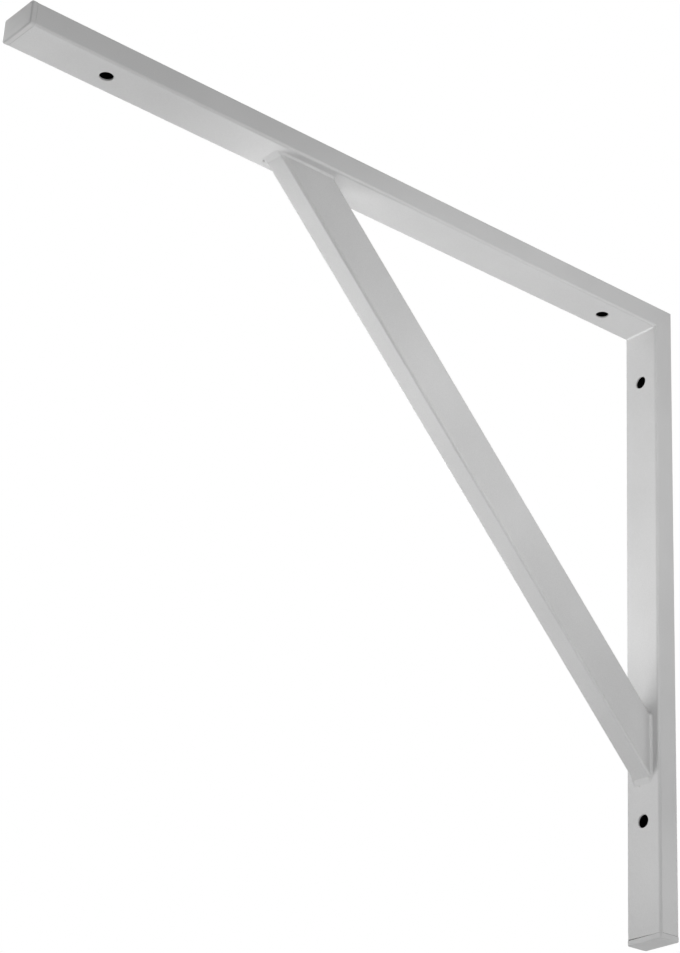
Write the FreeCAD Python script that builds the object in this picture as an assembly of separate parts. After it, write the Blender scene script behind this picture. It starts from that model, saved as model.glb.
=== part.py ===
import FreeCAD, Part
import math
import os
from FreeCAD import Placement, Rotation, Vector

# Gallows shelf bracket: a shelf arm and a wall upright of rectangular steel tube, mitred and welded
# at the corner and held square by a diagonal brace, with a plastic plug in each open end.
# Millimetres. The wall is the plane y = 0, the shelf lies on the plane z = 0 and the arm reaches
# towards -Y. The origin is the bracket's outer corner, in the middle of its width.

# Reach of the arm and drop of the upright, each with its end plug
ARM_REACH = 540.0
UPRIGHT_DROP = 460.0

# Tube of the arm and the upright: the width lies along the wall, the depth across the bend
TUBE_WIDTH = 30.0
TUBE_DEPTH = 17.0
TUBE_WALL = 1.5
TUBE_CORNER = 2.5

# Tube of the brace, and where its outer face meets the arm and the upright
BRACE_WIDTH = 16.0
BRACE_DEPTH = 31.0
BRACE_WALL = 1.5
BRACE_CORNER = 2.5
BRACE_HEAD_OUT = 348.0
BRACE_FOOT_DOWN = 353.0

# Screw holes, drilled through both walls of a tube
HOLE_DIAMETER = 9.0
ARM_HOLE_FROM_WALL = 55.0
ARM_HOLE_FROM_END = 65.0
UPRIGHT_HOLE_FROM_SHELF = 57.0
UPRIGHT_HOLE_FROM_END = 80.0

# End plug: a flange over the tube's end, and a hollow stem with lamellae that grip the bore
FLANGE_THICKNESS = 3.5
FLANGE_CORNER = 1.6
FLANGE_ROUNDING = 1.0
STEM_LENGTH = 16.0
STEM_WALL = 1.6
LAMELLA_COUNT = 4
LAMELLA_THICKNESS = 0.8
LAMELLA_HEIGHT = 1.2
LAMELLA_CLEARANCE = 0.1

# Weld beads: leg along each face, throat, and the thin lip where a bead runs out on the brace. At the
# brace's toes the bead is flatter and reaches further over the arm and the upright.
CORNER_WELD_LEG = 2.2
CORNER_WELD_THROAT = 1.2
BRACE_WELD_LEG = 1.4
BRACE_WELD_THROAT = 1.0
BRACE_WELD_LIP = 0.2
BRACE_TOE_SPREAD = 3.2
BRACE_TOE_THROAT = 2.0

# Rounding left where an inset uses up a corner, and extra length of the brace before it is sawn
SMALLEST_RADIUS = 0.3
SAW_ALLOWANCE = 60.0

# A bead's throat stands at 45 degrees between its legs
LEG_SHARE = math.cos(math.radians(45))


def rounded_rectangle(width, depth, corner):
    """Closed wire in the XY plane, centred on x = 0 and running from y = 0 to y = depth."""
    right, back = width / 2 - corner, depth - corner
    centres = [(right, back), (-right, back), (-right, corner), (right, corner)]
    arcs = [Part.makeCircle(corner, Vector(x, y, 0), Vector(0, 0, 1), 90 * turn, 90 * turn + 90)
            for turn, (x, y) in enumerate(centres)]
    sides = [Part.makeLine(arc.Vertexes[-1].Point, following.Vertexes[0].Point)
             for arc, following in zip(arcs, arcs[1:] + arcs[:1])]
    return Part.Wire([edge for pair in zip(arcs, sides) for edge in pair])


def bar(width, depth, corner, length, inset=0.0):
    """Solid with a tube's outline, or that outline drawn in by an inset, running along +Z."""
    radius = max(corner - inset, SMALLEST_RADIUS)
    wire = rounded_rectangle(width - 2 * inset, depth - 2 * inset, radius)
    wire.translate(Vector(0, inset, 0))
    return Part.Face(wire).extrude(Vector(0, 0, length))


def tube(width, depth, corner, wall, length):
    """Bar with its bore taken out, open at both ends."""
    return bar(width, depth, corner, length).cut(bar(width, depth, corner, length, wall))


def lay(start, depth, along):
    """Placement of a bar: its own Y turns to depth and its own Z to along."""
    return Placement(start, Rotation(depth.cross(along), depth, along, "ZYX"))


def placed(shape, placement):
    """Copy of the shape, moved by the placement on top of where it already is."""
    moved = shape.copy()
    moved.Placement = placement * moved.Placement
    return moved


def side_block(corners, width):
    """Block that spans the width, cut to a side view given as (y, z) corners."""
    points = [Vector(-width / 2, y, z) for y, z in corners + corners[:1]]
    return Part.Face(Part.makePolygon(points)).extrude(Vector(width, 0, 0))


ARM_LAY = lay(Vector(0, 0, 0), Vector(0, 0, -1), Vector(0, -1, 0))
UPRIGHT_LAY = lay(Vector(0, 0, 0), Vector(0, -1, 0), Vector(0, 0, -1))

ARM_HOLES = [ARM_HOLE_FROM_WALL, ARM_REACH - ARM_HOLE_FROM_END]
UPRIGHT_HOLES = [UPRIGHT_HOLE_FROM_SHELF, UPRIGHT_DROP - UPRIGHT_HOLE_FROM_END]

# The brace's line in the side view, from its toe on the arm to its toe on the upright
HEAD_TOE = Vector(0, -BRACE_HEAD_OUT, -TUBE_DEPTH)
FOOT_TOE = Vector(0, -TUBE_DEPTH, -BRACE_FOOT_DOWN)
BRACE_ALONG = (FOOT_TOE - HEAD_TOE).normalize()
BRACE_INWARD = Vector(1, 0, 0).cross(BRACE_ALONG)


def arm_tube(placement, reach, holes):
    """Tube with one end mitred at the bracket's corner, the other square, and its screw holes."""
    length = reach - FLANGE_THICKNESS
    body = tube(TUBE_WIDTH, TUBE_DEPTH, TUBE_CORNER, TUBE_WALL, length)
    body = body.cut(side_block([(0, 0), (TUBE_DEPTH, 0), (TUBE_DEPTH, TUBE_DEPTH)], TUBE_WIDTH))
    for distance in holes:
        drill = Part.makeCylinder(HOLE_DIAMETER / 2, TUBE_DEPTH, Vector(0, 0, distance), Vector(0, 1, 0))
        body = body.cut(drill)
    return placed(body, placement)


def brace_bar(inset=0.0):
    """The brace's outline as a solid bar, left over-long at both ends."""
    length = (FOOT_TOE - HEAD_TOE).Length + 2 * SAW_ALLOWANCE
    solid = bar(BRACE_WIDTH, BRACE_DEPTH, BRACE_CORNER, length, inset)
    return placed(solid, lay(HEAD_TOE - BRACE_ALONG * SAW_ALLOWANCE, BRACE_INWARD, BRACE_ALONG))


def diagonal_brace():
    """Brace tube, sawn off flush with the arm's underside and the upright's front."""
    far = BRACE_HEAD_OUT + BRACE_DEPTH
    low = BRACE_FOOT_DOWN + BRACE_DEPTH
    corners = [(-TUBE_DEPTH, -TUBE_DEPTH), (-far, -TUBE_DEPTH), (-far, -low), (-TUBE_DEPTH, -low)]
    return brace_bar().cut(brace_bar(BRACE_WALL)).common(side_block(corners, TUBE_WIDTH))


def brace_weld(surface, toe_distance, into_surface):
    """Bead around one end of the brace. The surface's own Y runs away from the bracket's corner along
    the arm's face, and its own Z stands out of that face."""
    sine = abs(BRACE_ALONG.dot(into_surface))
    footprint = BRACE_DEPTH / sine
    lean = math.sqrt(1 - sine ** 2) / sine
    throat = BRACE_WELD_THROAT * LEG_SHARE
    root = (BRACE_WELD_LEG, BRACE_TOE_SPREAD, 0)
    waist = (throat, BRACE_TOE_THROAT, throat)
    run_out = (BRACE_WELD_LIP, BRACE_WELD_LIP, BRACE_WELD_LEG)
    outlines = []
    for spread, toe_spread, height in (root, waist, run_out):
        length = footprint + spread + toe_spread
        outline = rounded_rectangle(BRACE_WIDTH + 2 * spread, length, BRACE_CORNER + spread)
        outline.translate(Vector(0, toe_distance - footprint - spread - lean * height, height))
        outlines.append(outline)
    mound = Part.makeLoft(outlines, True, True)
    return placed(mound, surface).cut(brace_bar())


def corner_weld():
    """Bead in the inner angle of the mitre, across the flats of the two tubes."""
    flat = TUBE_WIDTH - 2 * TUBE_CORNER
    throat = CORNER_WELD_THROAT * LEG_SHARE
    root = Vector(-flat / 2, -TUBE_DEPTH, -TUBE_DEPTH)
    on_arm = root + Vector(0, -CORNER_WELD_LEG, 0)
    on_upright = root + Vector(0, 0, -CORNER_WELD_LEG)
    hollow = Part.Arc(on_upright, root + Vector(0, -throat, -throat), on_arm).toShape()
    outline = Part.Wire([Part.makeLine(root, on_upright), hollow, Part.makeLine(on_arm, root)])
    return Part.Face(outline).extrude(Vector(flat, 0, 0))


def end_cap(placement, reach):
    """Plug whose flange finishes the tube at its full reach and whose stem sits in the bore."""
    flange = bar(TUBE_WIDTH, TUBE_DEPTH, FLANGE_CORNER, FLANGE_THICKNESS)
    rim = [edge for edge in flange.Edges if edge.BoundBox.ZMin > FLANGE_THICKNESS - SMALLEST_RADIUS]
    plug = flange.makeFillet(FLANGE_ROUNDING, rim)
    grip = TUBE_WALL + LAMELLA_CLEARANCE
    core = grip + LAMELLA_HEIGHT
    stem = bar(TUBE_WIDTH, TUBE_DEPTH, TUBE_CORNER, STEM_LENGTH, core)
    stem = stem.cut(bar(TUBE_WIDTH, TUBE_DEPTH, TUBE_CORNER, STEM_LENGTH, core + STEM_WALL))
    stem.translate(Vector(0, 0, -STEM_LENGTH))
    plug = plug.fuse(stem)
    pitch = (STEM_LENGTH - LAMELLA_THICKNESS) / LAMELLA_COUNT
    for number in range(LAMELLA_COUNT):
        lamella = bar(TUBE_WIDTH, TUBE_DEPTH, TUBE_CORNER, LAMELLA_THICKNESS, grip)
        lamella = lamella.cut(bar(TUBE_WIDTH, TUBE_DEPTH, TUBE_CORNER, LAMELLA_THICKNESS, core))
        lamella.translate(Vector(0, 0, -(number + 1) * pitch - LAMELLA_THICKNESS))
        plug = plug.fuse(lamella)
    plug.translate(Vector(0, 0, reach - FLANGE_THICKNESS))
    return placed(plug.removeSplitter(), placement)


ARM_UNDERSIDE = lay(Vector(0, 0, -TUBE_DEPTH), Vector(0, -1, 0), Vector(0, 0, -1))
UPRIGHT_FRONT = lay(Vector(0, -TUBE_DEPTH, 0), Vector(0, 0, -1), Vector(0, -1, 0))

nodes = {
    "shelf_arm": arm_tube(ARM_LAY, ARM_REACH, ARM_HOLES),
    "wall_upright": arm_tube(UPRIGHT_LAY, UPRIGHT_DROP, UPRIGHT_HOLES),
    "diagonal_brace": diagonal_brace(),
    "arm_end_cap": end_cap(ARM_LAY, ARM_REACH),
    "upright_end_cap": end_cap(UPRIGHT_LAY, UPRIGHT_DROP),
    "corner_weld": corner_weld(),
    "brace_head_weld": brace_weld(ARM_UNDERSIDE, BRACE_HEAD_OUT, Vector(0, 0, 1)),
    "brace_foot_weld": brace_weld(UPRIGHT_FRONT, BRACE_FOOT_DOWN, Vector(0, 1, 0)),
}

os.makedirs("parts", exist_ok=True)
for name, shape in nodes.items():
    shape.exportStep(f"parts/{name}.step")
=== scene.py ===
import math

import bpy
from mathutils import Matrix, Vector


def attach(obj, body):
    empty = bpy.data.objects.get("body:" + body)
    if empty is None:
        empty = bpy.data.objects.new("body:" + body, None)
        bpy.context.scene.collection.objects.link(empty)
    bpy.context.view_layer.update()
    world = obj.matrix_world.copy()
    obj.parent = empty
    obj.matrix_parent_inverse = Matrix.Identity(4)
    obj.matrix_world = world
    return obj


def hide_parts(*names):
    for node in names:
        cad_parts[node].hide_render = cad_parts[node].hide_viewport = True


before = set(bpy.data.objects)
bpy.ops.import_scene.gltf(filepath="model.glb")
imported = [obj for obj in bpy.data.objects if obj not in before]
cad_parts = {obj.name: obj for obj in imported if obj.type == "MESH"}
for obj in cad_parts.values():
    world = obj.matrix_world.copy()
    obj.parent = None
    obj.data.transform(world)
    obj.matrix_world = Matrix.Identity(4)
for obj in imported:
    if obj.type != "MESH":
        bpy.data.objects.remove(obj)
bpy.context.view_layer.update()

# The wall upright: rectangular steel tube standing against the wall, mitred at the top where it meets
# the arm and drilled through front and back for two screws. The whole bracket is powder coated after
# welding; the coat only just enters the holes, and the bore behind them keeps its dark rolling scale.
tube_width = 0.030
tube_depth = 0.017
tube_wall = 0.0015
tube_corner = 0.0020
corner_facets = 10
plug_flange = 0.0035
hole_radius = 0.0045
hole_facets = 56
paint_rounding = 0.00035
upright_drop = 0.460
upright_skew = -0.015
upright_gap = 0.00045
upright_holes = (0.057, 0.380)
sharp_angle = 0.6
rounding_segments = 3
near = 0.0001
hair = 0.00001
coat_grey = 0.545
coat_shade = 0.02
coat_cloud_size = 0.06
coat_speckle_size = 0.0006
coat_gloss = (0.29, 0.33)
coat_gloss_size = 0.04
peel_size = 0.0016
peel_height = 0.00004
nib_spacing = 0.012
nib_share = 0.03
nib_height = 0.00005
scale_grey = 0.018
scale_cloud_size = 0.004
scale_gloss = (0.55, 0.75)
scale_gloss_size = 0.009
pit_size = 0.0008
pit_height = 0.00005


def add_node(tree, kind, sockets=None, **settings):
    """Puts a node into a tree; sockets gives values, or outputs of other nodes, by name or number."""
    node = tree.nodes.new(kind)
    for name, value in settings.items():
        setattr(node, name, value)
    for name, source in (sockets or {}).items():
        if isinstance(source, bpy.types.NodeSocket):
            tree.links.new(source, node.inputs[name])
        else:
            node.inputs[name].default_value = source
    return node.outputs


def grey(level):
    return (level, level, level, 1.0)


def new_finish(name):
    """Material with an empty shader, ready for its own nodes, and its object coordinates."""
    finish = bpy.data.materials.new(name)
    finish.use_nodes = True
    shader = finish.node_tree.nodes["Principled BSDF"]
    place = add_node(finish.node_tree, "ShaderNodeTexCoord")["Object"]
    return finish, finish.node_tree, shader, place


def noise(tree, place, size, detail=2.0):
    """Cloudy pattern whose lumps are about the given size in metres across."""
    return add_node(tree, "ShaderNodeTexNoise", {"Vector": place, "Scale": 1 / size, "Detail": detail})[0]


def between(tree, pattern, low, high, start=0.3, end=0.7):
    """Turns a pattern into values that run from low to high."""
    sockets = {"Value": pattern, "From Min": start, "From Max": end, "To Min": low, "To Max": high}
    return add_node(tree, "ShaderNodeMapRange", sockets)[0]


def powder_coat():
    """Satin grey powder coat: flow texture like orange peel, fine speckle, a few nibs of dust."""
    finish, tree, shader, place = new_finish("satin_coat")
    cloud = between(tree, noise(tree, place, coat_cloud_size), -coat_shade, coat_shade)
    speckle = between(tree, noise(tree, place, coat_speckle_size, 1.0), -coat_shade, coat_shade)
    shade = add_node(tree, "ShaderNodeMath", {0: cloud, 1: speckle}, operation="ADD")[0]
    level = add_node(tree, "ShaderNodeMath", {0: shade, 1: coat_grey}, operation="ADD")[0]
    tree.links.new(level, shader.inputs["Base Color"])
    gloss = between(tree, noise(tree, place, coat_gloss_size), *coat_gloss)
    tree.links.new(gloss, shader.inputs["Roughness"])
    peel = noise(tree, place, peel_size, 1.5)
    nibs = add_node(tree, "ShaderNodeTexVoronoi", {"Vector": place, "Scale": 1 / nib_spacing})["Distance"]
    nib = between(tree, nibs, 1.0, 0.0, 0.0, nib_share)
    flow = add_node(tree, "ShaderNodeBump", {"Height": peel, "Strength": 0.5, "Distance": peel_height})[0]
    bumps = {"Height": nib, "Strength": 0.3, "Distance": nib_height, "Normal": flow}
    relief = add_node(tree, "ShaderNodeBump", bumps)[0]
    tree.links.new(relief, shader.inputs["Normal"])
    return finish


def rolling_scale():
    """Bare inside of the tube: blue-black scale with dull rubbed streaks."""
    finish, tree, shader, place = new_finish("rolling_scale")
    level = between(tree, noise(tree, place, scale_cloud_size, 4.0), scale_grey * 0.6, scale_grey * 1.6)
    tree.links.new(level, shader.inputs["Base Color"])
    gloss = between(tree, noise(tree, place, scale_gloss_size), *scale_gloss)
    tree.links.new(gloss, shader.inputs["Roughness"])
    pits = noise(tree, place, pit_size)
    relief = add_node(tree, "ShaderNodeBump", {"Height": pits, "Strength": 0.4, "Distance": pit_height})[0]
    tree.links.new(relief, shader.inputs["Normal"])
    return finish


coat = powder_coat()
bare_bore = rolling_scale()


def new_form(name, sizes):
    """Node tree that makes a mesh, with one named input for each size."""
    tree = bpy.data.node_groups.new(name, "GeometryNodeTree")
    tree.interface.new_socket("Geometry", in_out="OUTPUT", socket_type="NodeSocketGeometry")
    for size in sizes:
        tree.interface.new_socket(size, in_out="INPUT", socket_type="NodeSocketFloat")
    return tree, add_node(tree, "NodeGroupInput")


def maths(tree, operation, first, second=0.0):
    return add_node(tree, "ShaderNodeMath", {0: first, 1: second}, operation=operation)[0]


def vector(tree, x=0.0, y=0.0, z=0.0):
    return add_node(tree, "ShaderNodeCombineXYZ", {"X": x, "Y": y, "Z": z})[0]


def compared(tree, operation, first, second):
    return add_node(tree, "FunctionNodeCompare", {"A": first, "B": second}, operation=operation)[0]


def both(tree, first, second):
    return add_node(tree, "FunctionNodeBooleanMath", {0: first, 1: second}, operation="AND")[0]


def place_in(tree):
    """Where each point of the mesh lies, as its X, Y and Z."""
    position = add_node(tree, "GeometryNodeInputPosition")[0]
    return add_node(tree, "ShaderNodeSeparateXYZ", {0: position})


def sharp_edges(tree):
    angle = add_node(tree, "GeometryNodeInputMeshEdgeAngle")["Unsigned Angle"]
    return compared(tree, "GREATER_THAN", angle, sharp_angle)


def kept_crisp(tree, made, chosen):
    """Leaves the chosen edges hard in a mesh that is smooth elsewhere."""
    hard = {"Geometry": made, "Selection": chosen, "Shade Smooth": False}
    return add_node(tree, "GeometryNodeSetShadeSmooth", hard, domain="EDGE")[0]


def marked_to_round(tree, made, chosen):
    """Marks the chosen edges for the rounding."""
    weights = {"Geometry": made, "Name": "bevel_weight_edge", "Value": chosen}
    return add_node(tree, "GeometryNodeStoreNamedAttribute", weights, domain="EDGE")[0]


def end_form(tree, made, finishes):
    """Closes a tree: instances made real, then each finish set on its faces."""
    made = add_node(tree, "GeometryNodeRealizeInstances", {"Geometry": made})[0]
    for finish, chosen in finishes:
        faces = {"Geometry": made, "Selection": chosen, "Material": finish}
        made = add_node(tree, "GeometryNodeSetMaterial", faces)[0]
    add_node(tree, "NodeGroupOutput", {"Geometry": made})


def rounded_outline(tree, width, depth, corner):
    """Rectangle with rounded corners, centred on the origin."""
    outline = add_node(tree, "GeometryNodeCurvePrimitiveQuadrilateral", {"Width": width, "Height": depth})[0]
    rounded = {"Curve": outline, "Radius": corner, "Count": corner_facets}
    return add_node(tree, "GeometryNodeFilletCurve", rounded, mode="POLY")[0]


def swept_bar(tree, width, depth, middle, corner, start, end):
    """Solid bar along +Z with rounded edges, centred on x = 0 and on y = middle."""
    outline = rounded_outline(tree, width, depth, corner)
    shifted = {"Geometry": outline, "Translation": vector(tree, y=middle)}
    outline = add_node(tree, "GeometryNodeTransform", shifted)[0]
    ends = {"Start": vector(tree, z=start), "End": vector(tree, z=end)}
    path = add_node(tree, "GeometryNodeCurvePrimitiveLine", ends)[0]
    swept = {"Curve": path, "Profile Curve": outline, "Fill Caps": True}
    return add_node(tree, "GeometryNodeCurveToMesh", swept)[0]


def out_of_square(tree, across, width, skew):
    """How far a skewed saw cut lies back from the square one, at a place across the tube."""
    half_fall = maths(tree, "MULTIPLY", maths(tree, "ABSOLUTE", skew), maths(tree, "DIVIDE", width, 2.0))
    return maths(tree, "SUBTRACT", maths(tree, "MULTIPLY", across, skew), half_fall)


def cut_tube_form(drilled):
    """Tube along +Z whose ends are sawn at a slope, drilled through where it takes screws."""
    sizes = ["Width", "Depth", "Corner", "Wall", "Length", "Start slope", "End slope", "End skew"]
    sizes += ["Hole radius", "First hole", "Second hole"] if drilled else []
    tree, given = new_form("cut_tube", sizes)
    width, depth, wall = given["Width"], given["Depth"], given["Wall"]
    middle = maths(tree, "DIVIDE", depth, 2.0)
    bar = swept_bar(tree, width, depth, middle, given["Corner"], 0.0, given["Length"])
    place = place_in(tree)
    along = maths(tree, "DIVIDE", place["Z"], given["Length"])
    slopes = {"Factor": along, "A": given["Start slope"], "B": given["End slope"]}
    slope = add_node(tree, "ShaderNodeMix", slopes)[0]
    sloped = maths(tree, "MULTIPLY", place["Y"], slope)
    skewed = maths(tree, "MULTIPLY", out_of_square(tree, place["X"], width, given["End skew"]), along)
    sawn = vector(tree, z=maths(tree, "ADD", sloped, skewed))
    bar = add_node(tree, "GeometryNodeSetPosition", {"Geometry": bar, "Offset": sawn})[0]
    both_walls = maths(tree, "MULTIPLY", wall, 2.0)
    bore_width = maths(tree, "SUBTRACT", width, both_walls)
    bore_depth = maths(tree, "SUBTRACT", depth, both_walls)
    bore_corner = maths(tree, "SUBTRACT", given["Corner"], wall)
    beyond = maths(tree, "MULTIPLY", depth, 2.0)
    bore_end = maths(tree, "ADD", given["Length"], beyond)
    bore_start = maths(tree, "MULTIPLY", beyond, -1.0)
    cutters = [swept_bar(tree, bore_width, bore_depth, middle, bore_corner, bore_start, bore_end)]
    for hole in (["First hole", "Second hole"] if drilled else []):
        sockets = {"Vertices": hole_facets, "Radius": given["Hole radius"], "Depth": beyond}
        drill = add_node(tree, "GeometryNodeMeshCylinder", sockets)[0]
        turned = {"Geometry": drill, "Rotation": (math.pi / 2, 0.0, 0.0)}
        turned["Translation"] = vector(tree, y=middle, z=given[hole])
        cutters.append(add_node(tree, "GeometryNodeTransform", turned)[0])
    boolean = tree.nodes.new("GeometryNodeMeshBoolean")
    boolean.solver = "EXACT"
    tree.links.new(bar, boolean.inputs["Mesh 1"])
    for cutter in cutters:
        tree.links.new(cutter, boolean.inputs["Mesh 2"])
    made = add_node(tree, "GeometryNodeSetShadeSmooth", {"Geometry": boolean.outputs[0]})[0]
    sharp = sharp_edges(tree)
    mitre = maths(tree, "MULTIPLY", place["Y"], given["Start slope"])
    off_mitre = maths(tree, "ABSOLUTE", maths(tree, "SUBTRACT", place["Z"], mitre))
    at_mitre = both(tree, sharp, compared(tree, "LESS_THAN", off_mitre, near))
    rim = both(tree, sharp, compared(tree, "GREATER_THAN", off_mitre, near))
    made = marked_to_round(tree, kept_crisp(tree, made, at_mitre), rim)
    across = maths(tree, "ABSOLUTE", place["X"])
    deep = maths(tree, "ABSOLUTE", maths(tree, "SUBTRACT", place["Y"], middle))
    reach = maths(tree, "ADD", maths(tree, "DIVIDE", bore_width, 2.0), hair)
    inset = maths(tree, "ADD", maths(tree, "DIVIDE", bore_depth, 2.0), hair)
    in_bore = both(tree, compared(tree, "LESS_THAN", across, reach), compared(tree, "LESS_THAN", deep, inset))
    end_form(tree, made, [(coat, True), (bare_bore, in_bore)])
    return tree


def shaped(name, tree, sizes, rounding=None):
    """Piece whose mesh a node tree makes; rounding softens the edges that the tree marks."""
    piece = bpy.data.objects.new(name, bpy.data.meshes.new(name))
    bpy.context.scene.collection.objects.link(piece)
    form = piece.modifiers.new("form", "NODES")
    form.node_group = tree
    sockets = {item.name: item.identifier for item in tree.interface.items_tree if item.in_out == "INPUT"}
    for size, value in sizes.items():
        form[sockets[size]] = value
    if rounding:
        bevel = piece.modifiers.new("rounding", "BEVEL")
        bevel.limit_method = "WEIGHT"
        bevel.width = rounding
        bevel.segments = rounding_segments
        flats = piece.modifiers.new("flats", "WEIGHTED_NORMAL")
        flats.keep_sharp = True
    evaluated = piece.evaluated_get(bpy.context.evaluated_depsgraph_get())
    mesh = bpy.data.meshes.new_from_object(evaluated)
    if mesh.materials[0] is None:
        mesh.materials.pop(index=0)
    piece.modifiers.clear()
    piece.data = mesh
    return piece


def turned_to(depth, along, start=(0.0, 0.0, 0.0)):
    """Matrix that turns a bar's own Y and Z to the given directions and moves it to its start."""
    across = Vector(depth).cross(Vector(along))
    return Matrix.Translation(start) @ Matrix((across, depth, along)).transposed().to_4x4()


drilled_tube = cut_tube_form(drilled=True)
main_tube = {
    "Width": tube_width, "Depth": tube_depth, "Corner": tube_corner, "Wall": tube_wall,
    "Start slope": 1.0, "End slope": 0.0, "Hole radius": hole_radius,
}
upright_size = main_tube | {
    "Length": upright_drop - plug_flange - upright_gap, "End skew": upright_skew,
    "First hole": upright_holes[0], "Second hole": upright_holes[1],
}
upright_lay = turned_to((0, -1, 0), (0, 0, -1))
upright = shaped("upright", drilled_tube, upright_size, paint_rounding)
upright.data.transform(upright_lay)
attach(upright, "root")
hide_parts("wall_upright")

# The shelf arm: the same tube lying under the shelf board, mitred onto the upright and drilled through
# bottom and top for two screws driven up into the board. Both mitres are welded and ground flush.
# Like the upright's, its open end is sawn a little out of square.
arm_reach = 0.540
arm_skew = 0.05
arm_holes = (0.055, 0.475)
arm_size = main_tube | {
    "Length": arm_reach - plug_flange, "End skew": arm_skew,
    "First hole": arm_holes[0], "Second hole": arm_holes[1],
}
arm_lay = turned_to((0, 0, -1), (0, -1, 0))
arm = shaped("arm", drilled_tube, arm_size, paint_rounding)
arm.data.transform(arm_lay)
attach(arm, "root")
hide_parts("shelf_arm")

# The weld in the inner angle of the mitre: one short bead laid across the flats of both tubes, its
# ripples half drowned by the coat.
corner_bead_leg = 0.0014
corner_bead_throat = 0.00045
corner_bead_fade = 0.0018
bead_facets = 14
bead_step = 0.00025
ripple_pitch = 0.0015
ripple_height = 0.00004
ripple_bow = 240.0
ripple_drift_scale = 260.0
bead_wander = 0.00035
bead_wander_size = 0.006
face_swell = 3.0
smallest_share = 0.03


def hollow(leg, throat):
    """Power that bends a bead's face in to its throat, and makes it run out flat on both tubes."""
    return math.log(leg / throat, math.sqrt(2))


def bead_section(tree, leg, bend):
    """Closed outline of a bead: its root in the corner, its hollow face between the two legs."""
    line = add_node(tree, "GeometryNodeCurvePrimitiveLine")[0]
    points = add_node(tree, "GeometryNodeResampleCurve", {"Curve": line, "Count": bead_facets + 2})[0]
    number = add_node(tree, "GeometryNodeInputIndex")[0]
    turn = maths(tree, "MULTIPLY", number, math.pi / 2 / bead_facets)
    sine = maths(tree, "POWER", maths(tree, "ABSOLUTE", maths(tree, "SINE", turn)), bend)
    cosine = maths(tree, "POWER", maths(tree, "ABSOLUTE", maths(tree, "COSINE", turn)), bend)
    reach = maths(tree, "MULTIPLY", leg, maths(tree, "LESS_THAN", number, bead_facets + 0.5))
    out, up = maths(tree, "MULTIPLY", reach, sine), maths(tree, "MULTIPLY", reach, cosine)
    spot = vector(tree, out, maths(tree, "MULTIPLY", up, -1.0))
    placed = add_node(tree, "GeometryNodeSetPosition", {"Geometry": points, "Position": spot})[0]
    return add_node(tree, "GeometryNodeSetSplineCyclic", {"Geometry": placed, "Cyclic": True})[0]


def bead_form(name, path_of, sizes):
    """Weld bead whose hollow face is rippled, along a path that path_of lays out."""
    tree, given = new_form(name, ["Leg", "Bend", "Pitch", "Ripple", "Wander"] + sizes)
    path, share = path_of(tree, given)
    path = add_node(tree, "GeometryNodeResampleCurve", {"Curve": path, "Length": bead_step}, mode="LENGTH")[0]
    path = add_node(tree, "GeometryNodeSetCurveNormal", {"Curve": path}, mode="Z_UP")[0]
    walked = tree.nodes.new("GeometryNodeCaptureAttribute")
    walked.capture_items.new("FLOAT", "walked")
    tree.links.new(path, walked.inputs["Geometry"])
    tree.links.new(add_node(tree, "GeometryNodeSplineParameter")["Length"], walked.inputs["walked"])
    crossed = tree.nodes.new("GeometryNodeCaptureAttribute")
    crossed.capture_items.new("VECTOR", "crossed")
    tree.links.new(bead_section(tree, given["Leg"], given["Bend"]), crossed.inputs["Geometry"])
    tree.links.new(add_node(tree, "GeometryNodeInputPosition")[0], crossed.inputs["crossed"])
    swept = {"Curve": walked.outputs["Geometry"], "Profile Curve": crossed.outputs["Geometry"]}
    swept |= {"Scale": share, "Fill Caps": True}
    bead = add_node(tree, "GeometryNodeCurveToMesh", swept)[0]
    section_place = add_node(tree, "ShaderNodeSeparateXYZ", {0: crossed.outputs["crossed"]})
    out, up = section_place["X"], maths(tree, "MULTIPLY", section_place["Y"], -1.0)
    lean = maths(tree, "SUBTRACT", out, up)
    bow = maths(tree, "MULTIPLY", maths(tree, "MULTIPLY", lean, lean), ripple_bow)
    unsteady = add_node(tree, "ShaderNodeTexNoise", {"Scale": ripple_drift_scale, "Detail": 1.0})[0]
    drift = maths(tree, "MULTIPLY", unsteady, given["Pitch"])
    travel = maths(tree, "ADD", maths(tree, "ADD", walked.outputs["walked"], bow), drift)
    turns = maths(tree, "DIVIDE", maths(tree, "MULTIPLY", travel, 2 * math.pi), given["Pitch"])
    face = maths(tree, "DIVIDE", maths(tree, "MINIMUM", out, up), given["Leg"])
    ripple = maths(tree, "MULTIPLY", maths(tree, "SINE", turns), given["Ripple"])
    uneven = add_node(tree, "ShaderNodeTexNoise", {"Scale": 1 / bead_wander_size, "Detail": 1.0})[0]
    wander = maths(tree, "MULTIPLY", maths(tree, "SUBTRACT", uneven, 0.5), given["Wander"])
    crown = maths(tree, "MULTIPLY", face, face_swell)
    swell = maths(tree, "MULTIPLY", maths(tree, "ADD", ripple, wander), crown)
    normal = add_node(tree, "GeometryNodeInputNormal")[0]
    raised = add_node(tree, "ShaderNodeVectorMath", {0: normal, "Scale": swell}, operation="SCALE")["Vector"]
    bead = add_node(tree, "GeometryNodeSetPosition", {"Geometry": bead, "Offset": raised})[0]
    return tree, given, bead


def finish_bead(tree, bead):
    bead = add_node(tree, "GeometryNodeSetShadeSmooth", {"Geometry": bead})[0]
    end_form(tree, kept_crisp(tree, bead, sharp_edges(tree)), [(coat, True)])


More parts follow.
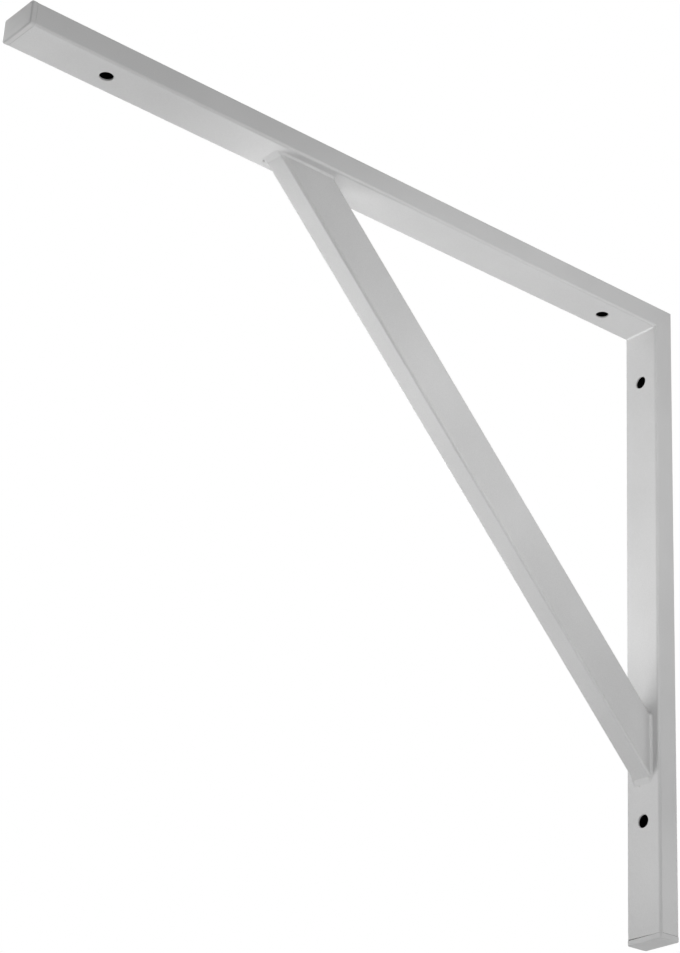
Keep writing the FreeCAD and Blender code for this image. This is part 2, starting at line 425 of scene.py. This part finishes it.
def across_the_angle(tree, given):
    """Straight path across the tubes' flats, and the share of its size that a bead has along it."""
    half_run = maths(tree, "DIVIDE", given["Run"], 2.0)
    ends = {"Start": vector(tree, maths(tree, "MULTIPLY", half_run, -1.0)), "End": vector(tree, half_run)}
    walked = add_node(tree, "GeometryNodeSplineParameter")["Length"]
    ahead = maths(tree, "SUBTRACT", given["Run"], walked)
    to_end = maths(tree, "DIVIDE", maths(tree, "MINIMUM", walked, ahead), given["Fade"])
    share = maths(tree, "MINIMUM", maths(tree, "MAXIMUM", to_end, smallest_share), 1.0)
    return add_node(tree, "GeometryNodeCurvePrimitiveLine", ends)[0], maths(tree, "POWER", share, 0.5)


ripples = {"Pitch": ripple_pitch, "Ripple": ripple_height, "Wander": bead_wander}
corner_bead, _, bead = bead_form("corner_bead", across_the_angle, ["Run", "Fade"])
finish_bead(corner_bead, bead)
corner_size = ripples | {
    "Leg": corner_bead_leg, "Bend": hollow(corner_bead_leg, corner_bead_throat),
    "Run": tube_width - 2 * tube_corner, "Fade": corner_bead_fade,
}
corner = shaped("corner_bead", corner_bead, corner_size)
corner.data.transform(turned_to((0, 1, 0), (0, 0, -1), (0.0, -tube_depth, -tube_depth)))
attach(corner, "root")
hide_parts("corner_weld")

# The diagonal brace: a narrower, deeper tube sawn at a slope at both ends, so that it stands flush on
# the arm's underside and on the upright's front. Its toe lines are where its outer face meets them.
brace_width = 0.016
brace_depth = 0.031
brace_wall = 0.0015
brace_corner = 0.0019
head_toe = Vector((0.0, -0.348, -tube_depth))
foot_toe = Vector((0.0, -tube_depth, -0.353))
brace_along = (foot_toe - head_toe).normalized()
brace_inward = Vector((1, 0, 0)).cross(brace_along)
brace_size = {
    "Width": brace_width, "Depth": brace_depth, "Corner": brace_corner, "Wall": brace_wall,
    "Length": (foot_toe - head_toe).length, "End skew": 0.0,
    "Start slope": -brace_inward.z / brace_along.z, "End slope": -brace_inward.y / brace_along.y,
}
brace = shaped("brace", cut_tube_form(drilled=False), brace_size, paint_rounding)
brace.data.transform(turned_to(brace_inward, brace_along, head_toe))
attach(brace, "root")
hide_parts("diagonal_brace")

# The welds around the brace's two ends: one fillet bead each, run right round the sawn end and
# leaning back with the brace. At the toe, where the angle is open, the bead lies flat and wide.
brace_bead_leg = 0.0014
brace_bead_throat = 0.00050
head_flank_share = 1.2
foot_flank_share = 1.3
heel_share = 1.6
fullness = 16.0
toe_fullness = 0.57
head_toe_spread = 0.0036
foot_toe_spread = 0.0028
spatter_reach = 0.012
spatter_margin = 0.004
spatter_density = 9000.0
spatter_radius = (0.00010, 0.00024)
head_drop = (-0.0075, 0.0234, 0.0008, 0.00070)
foot_drop = (0.0030, 0.0250, 0.0001, 0.00035)


def round_the_end(tree, given):
    """The brace's outline, stretched to the length at which the slanting saw cut meets the surface, and
    the share of its size that the bead has along it, which differs on flanks, toe and heel."""
    outline = rounded_outline(tree, given["Width"], given["Depth"], given["Corner"])
    longer = vector(tree, 1.0, maths(tree, "DIVIDE", given["Footprint"], given["Depth"]), 1.0)
    outline = add_node(tree, "GeometryNodeTransform", {"Geometry": outline, "Scale": longer})[0]
    place = place_in(tree)
    from_middle = maths(tree, "DIVIDE", place["Y"], maths(tree, "DIVIDE", given["Footprint"], 2.0))
    at_ends = maths(tree, "POWER", maths(tree, "ABSOLUTE", from_middle), fullness)
    at_heel = maths(tree, "LESS_THAN", from_middle, 0.0)
    at_end = maths(tree, "ADD", maths(tree, "MULTIPLY", at_heel, heel_share - 1.0), 1.0)
    more = maths(tree, "MULTIPLY", at_ends, maths(tree, "SUBTRACT", at_end, given["Flank share"]))
    return outline, maths(tree, "ADD", more, given["Flank share"])


def spatter(tree, given):
    """Beads of spatter frozen on the tube around the weld, and one larger drop at a given spot."""
    ball = add_node(tree, "GeometryNodeMeshIcoSphere", {"Radius": 1.0, "Subdivisions": 3})[0]
    wide = tube_width - 2 * spatter_margin
    long = maths(tree, "ADD", given["Footprint"], 2 * spatter_reach)
    field = add_node(tree, "GeometryNodeMeshGrid", {"Size X": wide, "Size Y": long})[0]
    scattered = {"Mesh": field, "Density": spatter_density, "Seed": given["Seed"]}
    scattered = add_node(tree, "GeometryNodeDistributePointsOnFaces", scattered)["Points"]
    small, large = spatter_radius
    radius = {2: small, 3: large, "Seed": given["Seed"]}
    radius = add_node(tree, "FunctionNodeRandomValue", radius)[1]
    strewn = {"Points": scattered, "Instance": ball, "Scale": radius}
    strewn = add_node(tree, "GeometryNodeInstanceOnPoints", strewn)[0]
    spot = vector(tree, given["Drop across"], given["Drop along"], given["Drop up"])
    lone = add_node(tree, "GeometryNodePoints", {"Count": 1, "Position": spot})[0]
    single = {"Points": lone, "Instance": ball, "Scale": given["Drop radius"]}
    lone = add_node(tree, "GeometryNodeInstanceOnPoints", single)[0]
    joined = tree.nodes.new("GeometryNodeJoinGeometry")
    for drops in (strewn, lone):
        tree.links.new(drops, joined.inputs[0])
    return add_node(tree, "GeometryNodeRealizeInstances", {"Geometry": joined.outputs[0]})[0]


brace_sizes = ["Width", "Depth", "Footprint", "Corner", "Lean", "Toe", "Toe spread"]
brace_sizes += ["Flank share", "Seed", "Drop across", "Drop along", "Drop up", "Drop radius"]
brace_bead, given, bead = bead_form("brace_bead", round_the_end, brace_sizes)
place = place_in(brace_bead)
half_footprint = maths(brace_bead, "DIVIDE", given["Footprint"], 2.0)
past_toe = maths(brace_bead, "MAXIMUM", maths(brace_bead, "SUBTRACT", place["Y"], half_footprint), 0.0)
toe_share = maths(brace_bead, "POWER", maths(brace_bead, "DIVIDE", past_toe, given["Leg"]), toe_fullness)
spread = maths(brace_bead, "MULTIPLY", toe_share, given["Toe spread"])
widened = maths(brace_bead, "SUBTRACT", spread, past_toe)
leaning = maths(brace_bead, "MULTIPLY", place["Z"], given["Lean"])
middle = maths(brace_bead, "SUBTRACT", given["Toe"], half_footprint)
shift = maths(brace_bead, "ADD", maths(brace_bead, "SUBTRACT", middle, leaning), widened)
leaned = {"Geometry": bead, "Offset": vector(brace_bead, y=shift)}
bead = add_node(brace_bead, "GeometryNodeSetPosition", leaned)[0]
strewn = {"Geometry": spatter(brace_bead, given), "Translation": vector(brace_bead, y=middle)}
strewn = add_node(brace_bead, "GeometryNodeTransform", strewn)[0]
joined = brace_bead.nodes.new("GeometryNodeJoinGeometry")
for part in (bead, strewn):
    brace_bead.links.new(part, joined.inputs[0])
finish_bead(brace_bead, joined.outputs[0])


def brace_weld(name, node, sine, toe, lay, toe_spread, flank_share, seed, drop):
    """Bead on the surface that the brace meets at an angle with this sine. The drop of spatter is
    given by its place across, along and above the middle of the brace's end, and its radius."""
    across, onward, above, radius = drop
    size = ripples | {
        "Leg": brace_bead_leg, "Bend": hollow(brace_bead_leg, brace_bead_throat),
        "Width": brace_width, "Depth": brace_depth, "Corner": brace_corner,
        "Footprint": brace_depth / sine, "Lean": math.sqrt(1 - sine ** 2) / sine,
        "Toe": toe, "Toe spread": toe_spread, "Flank share": flank_share, "Seed": seed,
        "Drop across": across, "Drop along": onward, "Drop up": above, "Drop radius": radius,
    }
    weld = shaped(name, brace_bead, size)
    weld.data.transform(lay)
    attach(weld, "root")
    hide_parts(node)


under_arm = turned_to((0, -1, 0), (0, 0, -1), (0.0, 0.0, -tube_depth))
on_upright = turned_to((0, 0, -1), (0, -1, 0), (0.0, -tube_depth, 0.0))
head = ("head_bead", "brace_head_weld", abs(brace_along.z), -head_toe.y, under_arm)
foot = ("foot_bead", "brace_foot_weld", abs(brace_along.y), -foot_toe.z, on_upright)
brace_weld(*head, head_toe_spread, head_flank_share, 3, head_drop)
brace_weld(*foot, foot_toe_spread, foot_flank_share, 8, foot_drop)

# The plugs in the two open ends: grey moulded plastic. A flange with a well-rounded face covers the
# tube's end, and a hollow stem with thin lamellae is pushed into the bore and grips it.
plug_corner = 0.0016
plug_rounding = 0.0010
stem_length = 0.016
stem_wall = 0.0016
lamella_count = 4
lamella_thickness = 0.0008
lamella_height = 0.0012
lamella_clearance = 0.0001
smallest_radius = 0.0003
plug_grey = 0.55
plug_shade = 0.02
plug_cloud_size = 0.012
plug_gloss = (0.42, 0.52)
plug_gloss_size = 0.003
grain_size = 0.00035
grain_height = 0.00002


def moulded_plastic():
    """Grey plastic straight from the mould: fine eroded grain, slightly duller than the coat."""
    finish, tree, shader, place = new_finish("moulded_plastic")
    shades = (plug_grey * (1 - plug_shade), plug_grey * (1 + plug_shade))
    cloud = between(tree, noise(tree, place, plug_cloud_size), *shades)
    tree.links.new(cloud, shader.inputs["Base Color"])
    gloss = between(tree, noise(tree, place, plug_gloss_size), *plug_gloss)
    tree.links.new(gloss, shader.inputs["Roughness"])
    grain = noise(tree, place, grain_size)
    relief = add_node(tree, "ShaderNodeBump", {"Height": grain, "Strength": 0.4, "Distance": grain_height})[0]
    tree.links.new(relief, shader.inputs["Normal"])
    return finish


plastic = moulded_plastic()


def plug_form():
    """Plug standing on z = 0: the flange above it, the stem and its lamellae below."""
    names = ["Width", "Depth", "Corner", "Flange", "Flange corner", "Grip", "Lamella height"]
    names += ["Stem length", "Stem wall", "Lamella thickness", "Lamellae", "Skew"]
    tree, given = new_form("plug", names)
    width, depth = given["Width"], given["Depth"]
    middle = maths(tree, "DIVIDE", depth, 2.0)

    def inset_bar(inset, start, end):
        twice = maths(tree, "MULTIPLY", inset, 2.0)
        narrow = maths(tree, "SUBTRACT", width, twice)
        shallow = maths(tree, "SUBTRACT", depth, twice)
        radius = maths(tree, "MAXIMUM", maths(tree, "SUBTRACT", given["Corner"], inset), smallest_radius)
        return swept_bar(tree, narrow, shallow, middle, radius, start, end)

    flange = swept_bar(tree, width, depth, middle, given["Flange corner"], 0.0, given["Flange"])
    core = maths(tree, "ADD", given["Grip"], given["Lamella height"])
    stem_end = maths(tree, "MULTIPLY", given["Stem length"], -1.0)
    stem = inset_bar(core, stem_end, maths(tree, "DIVIDE", given["Flange"], 2.0))
    thin = maths(tree, "MULTIPLY", given["Lamella thickness"], -1.0)
    lamella = inset_bar(given["Grip"], thin, 0.0)
    run = maths(tree, "SUBTRACT", given["Stem length"], given["Lamella thickness"])
    pitch = maths(tree, "DIVIDE", run, given["Lamellae"])
    down = vector(tree, z=maths(tree, "MULTIPLY", pitch, -1.0))
    spots = {"Count": lamella_count, "Start Location": down, "Offset": down}
    spots = add_node(tree, "GeometryNodeMeshLine", spots)[0]
    row = add_node(tree, "GeometryNodeInstanceOnPoints", {"Points": spots, "Instance": lamella})[0]
    row = add_node(tree, "GeometryNodeRealizeInstances", {"Geometry": row})[0]
    union = tree.nodes.new("GeometryNodeMeshBoolean")
    union.operation = "UNION"
    union.solver = "EXACT"
    for solid in (flange, stem, row):
        tree.links.new(solid, union.inputs["Mesh 2"])
    hollow_end = maths(tree, "SUBTRACT", stem_end, given["Stem wall"])
    hollow = inset_bar(maths(tree, "ADD", core, given["Stem wall"]), hollow_end, 0.0)
    cut = tree.nodes.new("GeometryNodeMeshBoolean")
    cut.solver = "EXACT"
    tree.links.new(union.outputs[0], cut.inputs["Mesh 1"])
    tree.links.new(hollow, cut.inputs["Mesh 2"])
    made = add_node(tree, "GeometryNodeSetShadeSmooth", {"Geometry": cut.outputs[0]})[0]
    place = place_in(tree)
    sharp = sharp_edges(tree)
    face = maths(tree, "SUBTRACT", given["Flange"], near)
    outer_rim = both(tree, sharp, compared(tree, "GREATER_THAN", place["Z"], face))
    inner_edge = both(tree, sharp, compared(tree, "LESS_THAN", place["Z"], face))
    made = marked_to_round(tree, kept_crisp(tree, made, inner_edge), outer_rim)
    skewed = vector(tree, z=out_of_square(tree, place["X"], width, given["Skew"]))
    made = add_node(tree, "GeometryNodeSetPosition", {"Geometry": made, "Offset": skewed})[0]
    end_form(tree, made, [(plastic, True)])
    return tree


plug = plug_form()
plug_size = {
    "Width": tube_width, "Depth": tube_depth, "Corner": tube_corner, "Flange": plug_flange,
    "Flange corner": plug_corner, "Grip": tube_wall + lamella_clearance, "Lamella height": lamella_height,
    "Stem length": stem_length, "Stem wall": stem_wall, "Lamella thickness": lamella_thickness,
    "Lamellae": lamella_count,
}
for name, node, lay, reach, skew in (
    ("arm_plug", "arm_end_cap", arm_lay, arm_reach, arm_skew),
    ("upright_plug", "upright_end_cap", upright_lay, upright_drop, upright_skew - upright_gap / tube_width),
):
    cap = shaped(name, plug, plug_size | {"Skew": skew}, plug_rounding)
    cap.data.transform(lay @ Matrix.Translation((0.0, 0.0, reach - plug_flange)))
    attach(cap, "root")
    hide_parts(node)

# The floor is plain and pale and lies well below the bracket, which hangs as it would on its wall.
# Soft lamps stand around it, the strongest below on the near side, and the white sky lifts the shadows.
floor_height = -1.3
floor_size = 14.0
floor_grey = 0.8
floor_dullness = 0.9
floor_glow = 0.7
sky_light = 0.25
floor_mesh = bpy.data.meshes.new("floor")
half = floor_size / 2
floor_corners = [(-half, -half, floor_height), (half, -half, floor_height)]
floor_corners += [(half, half, floor_height), (-half, half, floor_height)]
floor_mesh.from_pydata(floor_corners, [], [(0, 1, 2, 3)])
floor = bpy.data.objects.new("floor", floor_mesh)
bpy.context.scene.collection.objects.link(floor)
floor_paint, floor_tree, floor_shader, _ = new_finish("floor_paint")
floor_shader.inputs["Base Color"].default_value = grey(floor_grey)
floor_shader.inputs["Roughness"].default_value = floor_dullness
floor_shader.inputs["Emission Color"].default_value = grey(1.0)


def where_seen(tree):
    """One for the rays by which the eye sees a surface, directly or in a reflection."""
    rays = add_node(tree, "ShaderNodeLightPath")
    seen = maths(tree, "MAXIMUM", rays["Is Camera Ray"], rays["Is Transmission Ray"])
    return maths(tree, "MAXIMUM", seen, rays["Is Glossy Ray"])


glow = maths(floor_tree, "MULTIPLY", where_seen(floor_tree), floor_glow)
floor_tree.links.new(glow, floor_shader.inputs["Emission Strength"])
floor_mesh.materials.append(floor_paint)

sky = bpy.data.worlds.new("sky")
bpy.context.scene.world = sky
sky.use_nodes = True
backdrop = sky.node_tree.nodes["Background"]
backdrop.inputs["Color"].default_value = grey(1.0)
strength = {"Factor": where_seen(sky.node_tree), "A": sky_light, "B": 1.0}
sky.node_tree.links.new(add_node(sky.node_tree, "ShaderNodeMix", strength)[0], backdrop.inputs["Strength"])


def soft_lamp(name, place, target, size, power):
    """Round lamp of the given width, aimed at its target, which the camera does not see."""
    lamp = bpy.data.lights.new(name, "AREA")
    lamp.shape = "DISK"
    lamp.size = size
    lamp.energy = power
    holder = bpy.data.objects.new(name, lamp)
    bpy.context.scene.collection.objects.link(holder)
    aim = Vector(target) - Vector(place)
    holder.matrix_world = Matrix.Translation(place) @ aim.to_track_quat("-Z", "Y").to_matrix().to_4x4()
    holder.visible_camera = False


lamps = {
    "below": ((0.6, -0.3, -1.15), (0.0, -0.25, -0.2), 0.8, 5.06),
    "wall_side": ((0.6, 0.6, -0.35), (0.0, -0.1, -0.3), 0.5, 1.02),
    "far_top": ((-0.3, -0.6, 0.05), (0.0, -0.2, -0.2), 0.3, 0.87),
    "near_top": ((0.6, 0.1, 0.2), (0.0, -0.3, -0.05), 0.2, 0.41),
    "far_inside": ((-0.25, -0.45, -0.3), (0.0, -0.25, -0.1), 0.25, 0.38),
    "far_corner": ((-0.25, -0.15, -0.15), (0.0, 0.0, 0.0), 0.25, 0.34),
    "far_low": ((-0.3, -0.3, -0.5), (0.0, -0.15, -0.15), 0.3, 0.33),
    "near_corner": ((0.25, -0.15, -0.15), (0.0, 0.0, 0.0), 0.25, 0.30),
    "front_top": ((0.3, -0.6, -0.1), (0.0, -0.2, -0.2), 0.3, 0.25),
    "far_front": ((-0.4, -0.5, -0.2), (0.0, -0.25, -0.1), 0.3, 0.20),
}
for name, (place, target, size, power) in lamps.items():
    soft_lamp(name, place, target, size, power)

# The photographer's camera stands low in front of the bracket, to the side, and looks up at it.
camera_place = Vector((1.00838, -1.04084, -0.82934))
camera_target = Vector((0.0, -0.27932, -0.22092))
camera_roll = math.radians(3.32)
sensor_height = 36.0
lens_length = 85.88
eye = bpy.data.cameras.new("eye")
eye.sensor_fit = "VERTICAL"
eye.sensor_height = sensor_height
eye.lens = lens_length
camera = bpy.data.objects.new("eye", eye)
bpy.context.scene.collection.objects.link(camera)
looking = (camera_target - camera_place).to_track_quat("-Z", "Y").to_matrix().to_4x4()
camera.matrix_world = Matrix.Translation(camera_place) @ looking @ Matrix.Rotation(camera_roll, 4, "Z")
bpy.context.scene.camera = camera
bpy.context.scene.view_settings.view_transform = "Standard"
